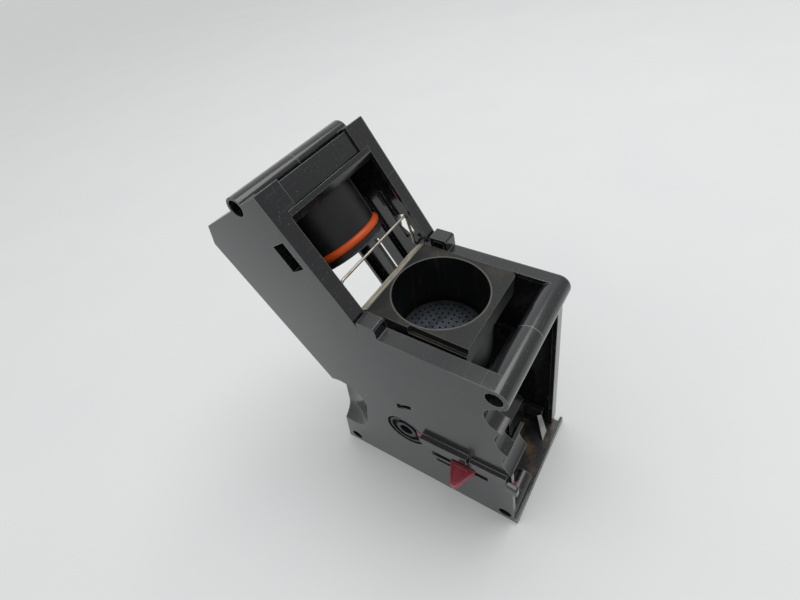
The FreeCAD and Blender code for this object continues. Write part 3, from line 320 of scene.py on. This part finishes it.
def stained_nylon():
    """Glass-filled nylon, moulded: satin black that coffee oils tint brown in streaky patches,
    with a dark wet bore and a scraping edge scuffed pale by the puck."""
    material, tree, shader, mm = new_material("glass_filled_nylon_moulded")
    normal, edge = edge_round_and_highlight(tree, 0.5)
    patch = add(
        tree,
        "ShaderNodeTexNoise",
        {"Vector": mm, "Scale": 1 / 14, "Detail": 6.0, "Roughness": 0.62},
    )
    stain = add(
        tree,
        "ShaderNodeMapRange",
        {"Value": patch.outputs[0], "From Min": 0.5, "From Max": 0.7, "To Max": 0.8},
    )
    settled = upward(tree, 0.2, 0.9)
    stain_top = add(
        tree,
        "ShaderNodeMath",
        {0: stain.outputs[0], 1: settled},
        operation="MULTIPLY",
    )
    # Wiped streaks in the dried film, 0.7 mm wide and some 10 mm long
    wipe = add(
        tree,
        "ShaderNodeMapping",
        {"Vector": mm, "Rotation": (0.0, 0.0, 0.7), "Scale": (10.0, 0.7, 3.0)},
        vector_type="TEXTURE",
    )
    wiped = add(
        tree,
        "ShaderNodeTexNoise",
        {"Vector": wipe.outputs[0], "Scale": 1.0, "Detail": 4.0},
    )
    left_on = add(
        tree,
        "ShaderNodeMapRange",
        {
            "Value": wiped.outputs[0],
            "From Min": 0.42,
            "From Max": 0.68,
            "To Min": 0.35,
            "To Max": 1.0,
        },
    )
    dried = add(
        tree,
        "ShaderNodeMath",
        {0: stain_top.outputs[0], 1: left_on.outputs[0]},
        operation="MULTIPLY",
    )
    stained = add(
        tree,
        "ShaderNodeMixRGB",
        {"Fac": dried.outputs[0], "Color1": linear(NYLON_BLACK), "Color2": linear(STAIN_BROWN)},
    )
    # Distance behind the chamber's axis, for the scraping edge along the back of the plate
    behind = add(
        tree,
        "ShaderNodeVectorMath",
        {0: mm, 1: (0.0, math.cos(CHAMBER_LEAN), math.sin(CHAMBER_LEAN))},
        operation="DOT_PRODUCT",
    )
    axis_behind = chamber_axis_behind()
    at_edge = add(
        tree,
        "ShaderNodeMapRange",
        {
            "Value": behind.outputs["Value"],
            "From Min": axis_behind + SCUFF_START,
            "From Max": axis_behind + SCUFF_END,
        },
    )
    # Rubbing marks across the edge, 0.8 mm wide and some 12 mm long
    rub_place = add(tree, "ShaderNodeMapping", {"Vector": mm, "Scale": (1 / 12, 1 / 0.8, 1 / 0.8)})
    rubbing = add(
        tree,
        "ShaderNodeTexNoise",
        {"Vector": rub_place.outputs[0], "Scale": 1.0, "Detail": 4.0},
    )
    streak = add(
        tree,
        "ShaderNodeMapRange",
        {
            "Value": rubbing.outputs[0],
            "From Min": 0.34,
            "From Max": 0.58,
            "To Min": 0.25,
            "To Max": 1.0,
        },
    )
    edge_top = add(
        tree,
        "ShaderNodeMath",
        {0: at_edge.outputs[0], 1: settled},
        operation="MULTIPLY",
    )
    scuff = add(
        tree,
        "ShaderNodeMath",
        {0: edge_top.outputs[0], 1: streak.outputs[0]},
        operation="MULTIPLY",
    )
    scuffed = add(
        tree,
        "ShaderNodeMixRGB",
        {"Fac": scuff.outputs[0], "Color1": stained.outputs[0], "Color2": linear(SCUFF_PALE)},
    )
    # Distance from the chamber's axis: the bore is dark with wet coffee film; its rim and edges
    # are painted pale, partly as rubbing and partly as a painted highlight
    across = add(tree, "ShaderNodeSeparateXYZ", {0: mm})
    along = add(
        tree,
        "ShaderNodeMath",
        {0: behind.outputs["Value"], 1: axis_behind},
        operation="SUBTRACT",
    )
    spot = add(tree, "ShaderNodeCombineXYZ", {0: across.outputs["X"], 1: along.outputs[0]})
    radius = add(tree, "ShaderNodeVectorMath", {0: spot.outputs[0]}, operation="LENGTH")
    in_bore = add(
        tree,
        "ShaderNodeMapRange",
        {"Value": radius.outputs["Value"], "From Min": BORE_R + 0.35, "From Max": BORE_R + 0.05},
    )
    streaks = add(tree, "ShaderNodeMapping", {"Vector": mm, "Scale": (1 / 2.5, 1 / 2.5, 1 / 30)})
    runs = add(
        tree,
        "ShaderNodeTexNoise",
        {"Vector": streaks.outputs[0], "Scale": 1.0, "Detail": 4.0},
    )
    run_share = add(
        tree,
        "ShaderNodeMapRange",
        {"Value": runs.outputs[0], "From Min": 0.55, "From Max": 0.75},
    )
    film = add(
        tree,
        "ShaderNodeMixRGB",
        {"Fac": run_share.outputs[0], "Color1": linear(FILM_WET), "Color2": linear(FILM_BROWN)},
    )
    bored = add(
        tree,
        "ShaderNodeMixRGB",
        {"Fac": in_bore.outputs[0], "Color1": scuffed.outputs[0], "Color2": film.outputs[0]},
    )
    # Ring on top of the bore's rim, painted pale: partly rubbing, partly a painted highlight
    rim_wear_and_highlight_ring = add(
        tree,
        "ShaderNodeMapRange",
        {
            "Value": radius.outputs["Value"],
            "From Min": BORE_R + RIM_WEAR_AND_HIGHLIGHT_WIDTH + 0.4,
            "From Max": BORE_R + RIM_WEAR_AND_HIGHLIGHT_WIDTH,
            "To Max": 0.32,
        },
    )
    rim_top_wear_and_highlight = add(
        tree,
        "ShaderNodeMath",
        {0: rim_wear_and_highlight_ring.outputs[0], 1: settled},
        operation="MULTIPLY",
    )
    # Edges painted pale: partly rubbing, partly a painted highlight
    rub_and_highlight = add(tree, "ShaderNodeMath", {0: edge, 1: 0.6}, operation="MULTIPLY")
    pale_wear_and_highlight = add(
        tree,
        "ShaderNodeMath",
        {0: rub_and_highlight.outputs[0], 1: rim_top_wear_and_highlight.outputs[0]},
        operation="MAXIMUM",
    )
    worn_and_highlit = add(
        tree,
        "ShaderNodeMixRGB",
        {"Fac": pale_wear_and_highlight.outputs[0], "Color1": bored.outputs[0], "Color2": linear(RIM_WEAR_AND_HIGHLIGHT)},
    )
    rough = add(
        tree,
        "ShaderNodeMapRange",
        {
            "Value": patch.outputs[0],
            "From Min": 0.3,
            "From Max": 0.7,
            "To Min": 0.34,
            "To Max": 0.58,
        },
    )
    grain = add(tree, "ShaderNodeTexNoise", {"Vector": mm, "Scale": 1 / 0.5, "Detail": 3.0})
    bump = add(
        tree,
        "ShaderNodeBump",
        {"Height": grain.outputs[0], "Strength": 0.12, "Distance": 0.06 * MM, "Normal": normal},
    )
    surface(tree, shader, worn_and_highlit, rough, bump)
    shader.inputs["IOR"].default_value = NYLON_IOR
    # The dry film takes part of the shine
    shader.inputs["Specular IOR Level"].default_value = 0.36
    return material


def chamber_axis_behind():
    """Millimetres along the chamber's backward direction at which its axis lies, at rest."""
    low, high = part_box("lower_sieve")
    centre = [(a + b) / 2 * PER_METRE for a, b in zip(low, high)]
    return centre[1] * math.cos(CHAMBER_LEAN) + centre[2] * math.sin(CHAMBER_LEAN)


def speckled_plastic(name, body, marked_colour, rough_low, rough_high, edge_wear_and_highlight, ior):
    """Plain moulded plastic or rubber: one colour with soft mottling, and edges painted paler,
    partly as rubbing and partly as a painted highlight.
    """
    material, tree, shader, mm = new_material(name)
    normal, edge = edge_round_and_highlight(tree, 0.4)
    mottle = add(tree, "ShaderNodeTexNoise", {"Vector": mm, "Scale": 1 / 6, "Detail": 5.0})
    amount = add(
        tree,
        "ShaderNodeMapRange",
        {"Value": mottle.outputs[0], "From Min": 0.42, "From Max": 0.72, "To Max": 0.6},
    )
    mixed = add(
        tree,
        "ShaderNodeMixRGB",
        {"Fac": amount.outputs[0], "Color1": linear(body), "Color2": linear(marked_colour)},
    )
    # Edges painted paler: partly rubbing, partly a painted highlight
    rub_and_highlight = add(tree, "ShaderNodeMath", {0: edge, 1: 0.5}, operation="MULTIPLY")
    worn_and_highlit = add(
        tree,
        "ShaderNodeMixRGB",
        {"Fac": rub_and_highlight.outputs[0], "Color1": mixed.outputs[0], "Color2": linear(edge_wear_and_highlight)},
    )
    rough = add(
        tree,
        "ShaderNodeMapRange",
        {
            "Value": mottle.outputs[0],
            "From Min": 0.3,
            "From Max": 0.7,
            "To Min": rough_low,
            "To Max": rough_high,
        },
    )
    grain = add(tree, "ShaderNodeTexNoise", {"Vector": mm, "Scale": 1 / 0.35, "Detail": 2.0})
    bump = add(
        tree,
        "ShaderNodeBump",
        {"Height": grain.outputs[0], "Strength": 0.08, "Distance": 0.05 * MM, "Normal": normal},
    )
    surface(tree, shader, worn_and_highlit, rough, bump)
    shader.inputs["IOR"].default_value = ior
    return material


def steel(name, body, film_colour, rough_low, rough_high, line_mm):
    """Stainless or plated steel, rolled or drawn: metal with fine lines and a thin dull film."""
    material, tree, shader, mm = new_material(name)
    film = add(tree, "ShaderNodeTexNoise", {"Vector": mm, "Scale": 1 / 7, "Detail": 5.0})
    amount = add(
        tree,
        "ShaderNodeMapRange",
        {"Value": film.outputs[0], "From Min": 0.4, "From Max": 0.7},
    )
    mixed = add(
        tree,
        "ShaderNodeMixRGB",
        {"Fac": amount.outputs[0], "Color1": linear(body), "Color2": linear(film_colour)},
    )
    rough = add(
        tree,
        "ShaderNodeMapRange",
        {
            "Value": film.outputs[0],
            "From Min": 0.3,
            "From Max": 0.7,
            "To Min": rough_low,
            "To Max": rough_high,
        },
    )
    along = add(
        tree,
        "ShaderNodeMapping",
        {"Vector": mm, "Scale": (1 / 8, 1 / line_mm, 1 / line_mm)},
    )
    lines = add(
        tree,
        "ShaderNodeTexNoise",
        {"Vector": along.outputs[0], "Scale": 1.0, "Detail": 2.0},
    )
    bump = add(
        tree,
        "ShaderNodeBump",
        {"Height": lines.outputs[0], "Strength": 0.15, "Distance": 0.03 * MM},
    )
    surface(tree, shader, mixed, rough, bump)
    shader.inputs["Metallic"].default_value = 1.0
    return material


def dress(frame):
    """Gives every node of the unit its finish."""
    finishes = {
        moulded_abs(
            "abs_moulded_black",
            body="#17181a",
            dusty="#77797a",
            dust_share=0.12,
            gloss=0.11,
            edge_wear_and_highlight="#a2a4a3",
        ): [
            "left_shell",
            "right_shell",
            "rear_panel",
            "inner_block",
            "head_panel",
            "head_cover",
            "piston_carrier",
        ],
        # The same moulding as the floor inside: brown patches of dried coffee, a black lip, and
        # wide pale edges that are partly rubbing and partly a painted highlight
        moulded_abs(
            "abs_moulded_black_stained",
            body="#121314",
            dusty="#77797a",
            dust_share=0.05,
            gloss=0.25,
            edge_wear_and_highlight="#c4c6c4",
            edge_mm=1.1,
            residue=0.7,
        ): ["base_plate"],
        stained_nylon(): ["brew_chamber"],
        # Polyacetal, moulded: dark and waxy, with a low sheen
        speckled_plastic(
            "acetal_moulded_dark",
            body="#131517",
            marked_colour="#1e1f20",
            rough_low=0.3,
            rough_high=0.46,
            edge_wear_and_highlight="#55585a",
            ior=1.48,
        ): [
            "yoke_left_arm",
            "yoke_right_arm",
            "yoke_beam",
            "drive_shaft",
            "left_bush",
            "right_bush",
            "guide_shoes",
            "lower_piston",
            "outlet_nozzle",
        ],
        # Polypropylene, moulded smooth: near black with a thin brown coffee film
        speckled_plastic(
            "polypropylene_moulded_black",
            body="#0c0b0a",
            marked_colour="#1c1713",
            rough_low=0.44,
            rough_high=0.58,
            edge_wear_and_highlight="#4c4943",
            ior=1.49,
        ): [
            "upper_piston",
        ],
        # ABS, moulded in red: dull crimson, with its edges and the tab's rim painted paler, partly
        # as rubbing and partly as a painted highlight
        speckled_plastic(
            "abs_moulded_red",
            body="#8d3440",
            marked_colour="#9b464f",
            rough_low=0.32,
            rough_high=0.46,
            edge_wear_and_highlight="#c58086",
            ior=ABS_IOR,
        ): ["lock_slider"],
        # Silicone, moulded ring: orange with a soft sheen and coffee-dark smudges
        speckled_plastic(
            "silicone_moulded_orange",
            body="#c94d14",
            marked_colour="#a03c12",
            rough_low=0.34,
            rough_high=0.48,
            edge_wear_and_highlight="#cf6230",
            ior=1.42,
        ): ["upper_seal"],
        # Nitrile rubber, moulded ring: flat black
        speckled_plastic(
            "nitrile_rubber_moulded",
            body="#1b1b1b",
            marked_colour="#262422",
            rough_low=0.6,
            rough_high=0.75,
            edge_wear_and_highlight="#3a3937",
            ior=1.5,
        ): ["lower_seal"],
        # Stainless sheet, punched: cold grey dulled by coffee
        steel(
            "stainless_sheet_punched",
            body="#585d65",
            film_colour="#3c4045",
            rough_low=0.4,
            rough_high=0.56,
            line_mm=0.4,
        ): [
            "upper_sieve",
            "lower_sieve",
            "lock_cover",
        ],
        # Stainless wire, drawn: warm bright line with a dull film
        steel(
            "stainless_wire_drawn",
            body="#c3bbae",
            film_colour="#978d7e",
            rough_low=0.28,
            rough_high=0.42,
            line_mm=0.3,
        ): ["scraper_wire"],
        # Zinc-plated steel, turned: even pale grey
        steel(
            "zinc_plated_steel",
            body="#a9a9a8",
            film_colour="#8a8a89",
            rough_low=0.3,
            rough_high=0.44,
            line_mm=0.3,
        ): [
            "shell_screws",
            "upper_sieve_screw",
            "lower_rod",
            "thrust_washers",
            "shaft_clips",
        ],
    }
    for material, nodes in finishes.items():
        for name in nodes:
            mesh = frame["nodes"][name].data
            mesh.materials.clear()
            mesh.materials.append(material)


def lock_tab_bead():
    """Raised bead round the top of the red thumb tab, moulded with it."""
    mesh = bpy.data.meshes.new("lock_tab_bead")
    build = bmesh.new()
    corners = [Vector(point) for point in TAB_BEAD]
    path = []
    before_all, after_all = corners[-1:] + corners[:-1], corners[1:] + corners[:1]
    for before, corner, after in zip(before_all, corners, after_all):
        start, end = corner.lerp(before, CORNER_SHARE), corner.lerp(after, CORNER_SHARE)
        for k in range(CORNER_STEPS + 1):
            t = k / CORNER_STEPS
            path.append(start.lerp(corner, t).lerp(corner.lerp(end, t), t))
    rings = []
    for here, ahead in zip(path, path[1:] + path[:1]):
        run = (ahead - here).normalized()
        out = Vector((run.y, -run.x))
        ring = []
        for k in range(BEAD_SIDES):
            turn = 2 * math.pi * k / BEAD_SIDES
            x, y = here + out * (TAB_BEAD_R * math.cos(turn))
            z = TAB_TOP_Z + TAB_BEAD_R * math.sin(turn)
            ring.append(build.verts.new((x * MM, y * MM, z * MM)))
        rings.append(ring)
    for ring, following in zip(rings, rings[1:] + rings[:1]):
        for k in range(BEAD_SIDES):
            beside = (k + 1) % BEAD_SIDES
            build.faces.new((ring[k], ring[beside], following[beside], following[k]))
    bmesh.ops.recalc_face_normals(build, faces=build.faces)
    build.to_mesh(mesh)
    build.free()
    for face in mesh.polygons:
        face.use_smooth = True
    bead = bpy.data.objects.new("lock_tab_bead", mesh)
    bpy.context.scene.collection.objects.link(bead)
    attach(bead, "lock")
    mesh.materials.append(bpy.data.materials["abs_moulded_red"])


def moulded_piece(name, corners, reach, round_mm, finish):
    """Small fixed piece with rounded edges: the outline of its end and the way it runs."""
    mesh = bpy.data.meshes.new(name)
    build = bmesh.new()
    near = [build.verts.new(Vector(corner) * MM) for corner in corners]
    far = [build.verts.new((Vector(corner) + Vector(reach)) * MM) for corner in corners]
    build.faces.new(near)
    build.faces.new(far[::-1])
    for k in range(len(near)):
        build.faces.new((near[k - 1], near[k], far[k], far[k - 1]))
    bmesh.ops.recalc_face_normals(build, faces=build.faces)
    bmesh.ops.bevel(
        build,
        geom=build.edges[:],
        offset=round_mm * MM,
        segments=2,
        profile=0.5,
        affect="EDGES",
    )
    build.to_mesh(mesh)
    build.free()
    piece = bpy.data.objects.new(name, mesh)
    bpy.context.scene.collection.objects.link(piece)
    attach(piece, "housing")
    mesh.materials.append(bpy.data.materials[finish])


def small_pieces():
    """Strip behind the carrier's lip, channel and leaf spring inside the front opening, and the
    stop at the rail's end."""
    strip = [(-CARRIER_STRIP_HALF, y, z) for y, z in CARRIER_STRIP]
    moulded_piece(
        "carrier_strip",
        strip,
        reach=(2 * CARRIER_STRIP_HALF, 0, 0),
        round_mm=0.3,
        finish="abs_moulded_black",
    )
    channel = [(x, SIDE_CHANNEL_START, z) for x, z in SIDE_CHANNEL]
    moulded_piece(
        "side_channel",
        channel,
        reach=(0, SIDE_CHANNEL_LENGTH, 0),
        round_mm=0.6,
        finish="abs_moulded_black",
    )
    moulded_piece(
        "leaf_spring",
        LEAF_SPRING,
        reach=LEAF_SPRING_DROP,
        round_mm=0.15,
        finish="zinc_plated_steel",
    )
    stop = [(RAIL_STOP_FACE, y, z) for y, z in RAIL_STOP]
    moulded_piece(
        "rail_stop",
        stop,
        reach=(RAIL_STOP_OUT, 0, 0),
        round_mm=0.9,
        finish="abs_moulded_black",
    )


def table_top():
    """Pale laminate table: even, matt, faintly mottled, with the unit's soft shadow."""
    half = TABLE_SIZE / 2 * MM
    mesh = bpy.data.meshes.new("table_top")
    mesh.from_pydata(
        [(-half, -half, 0), (half, -half, 0), (half, half, 0), (-half, half, 0)],
        [],
        [(0, 1, 2, 3)],
    )
    table = bpy.data.objects.new("table_top", mesh)
    bpy.context.scene.collection.objects.link(table)
    table.location.z = -TABLE_DROP * MM
    material, tree, shader, mm = new_material("laminate_matt_white")
    mottle = add(tree, "ShaderNodeTexNoise", {"Vector": mm, "Scale": 1 / 120, "Detail": 3.0})
    mixed = add(
        tree,
        "ShaderNodeMixRGB",
        {"Fac": mottle.outputs[0], "Color1": linear(TABLE_COLOUR), "Color2": linear(TABLE_MOTTLE)},
    )
    tree.links.new(mixed.outputs[0], shader.inputs["Base Color"])
    shader.inputs["Roughness"].default_value = 0.6
    mesh.materials.append(material)


def light():
    """Soft room light, dimmer in front, and one large lamp high up on the right."""
    world = bpy.data.worlds.new("room")
    bpy.context.scene.world = world
    world.use_nodes = True
    tree = world.node_tree
    tree.nodes.clear()
    place = add(tree, "ShaderNodeTexCoord", {})
    side = add(
        tree,
        "ShaderNodeVectorMath",
        {0: place.outputs["Generated"], 1: DIM_SIDE},
        operation="DOT_PRODUCT",
    )
    level = add(
        tree,
        "ShaderNodeMapRange",
        {
            "Value": side.outputs["Value"],
            "From Min": DIM_START,
            "From Max": DIM_END,
            "To Min": ROOM_BRIGHT,
            "To Max": ROOM_DIM,
        },
    )
    room = add(
        tree,
        "ShaderNodeBackground",
        {"Color": linear(ROOM_COLOUR), "Strength": level.outputs[0]},
    )
    add(tree, "ShaderNodeOutputWorld", {"Surface": room.outputs[0]})
    data = bpy.data.lights.new("lamp", "AREA")
    data.size = LAMP_SIZE * MM
    data.energy = LAMP_POWER
    lamp = bpy.data.objects.new("lamp", data)
    lamp.location = Vector(LAMP_AT) * MM
    lamp.rotation_euler = (-lamp.location).to_track_quat("-Z", "Y").to_euler()
    bpy.context.scene.collection.objects.link(lamp)


def camera():
    """Camera at the photograph's angle."""
    data = bpy.data.cameras.new("camera")
    data.sensor_fit = "HORIZONTAL"
    data.sensor_width = SENSOR_WIDTH
    data.lens = FOCAL_PIXELS * SENSOR_WIDTH / IMAGE_WIDTH
    data.clip_start = NEAR_CLIP
    data.dof.use_dof = False
    seen = bpy.data.objects.new("camera", data)
    turn = Matrix((CAMERA_RIGHT, CAMERA_UP, CAMERA_BACK)).transposed()
    seen.matrix_world = Matrix.Translation(Vector(CAMERA_AT) * MM) @ turn.to_4x4()
    bpy.context.scene.collection.objects.link(seen)
    bpy.context.scene.camera = seen


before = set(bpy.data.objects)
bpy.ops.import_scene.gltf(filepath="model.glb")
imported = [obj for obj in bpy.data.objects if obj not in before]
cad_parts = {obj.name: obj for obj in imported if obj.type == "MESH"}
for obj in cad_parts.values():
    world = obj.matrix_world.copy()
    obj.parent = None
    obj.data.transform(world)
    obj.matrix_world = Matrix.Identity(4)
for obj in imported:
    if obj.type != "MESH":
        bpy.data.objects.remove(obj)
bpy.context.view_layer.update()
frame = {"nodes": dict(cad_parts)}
bpy.context.scene.view_settings.view_transform = "Standard"
dress(frame)
lock_tab_bead()
small_pieces()
table_top()
light()
camera()
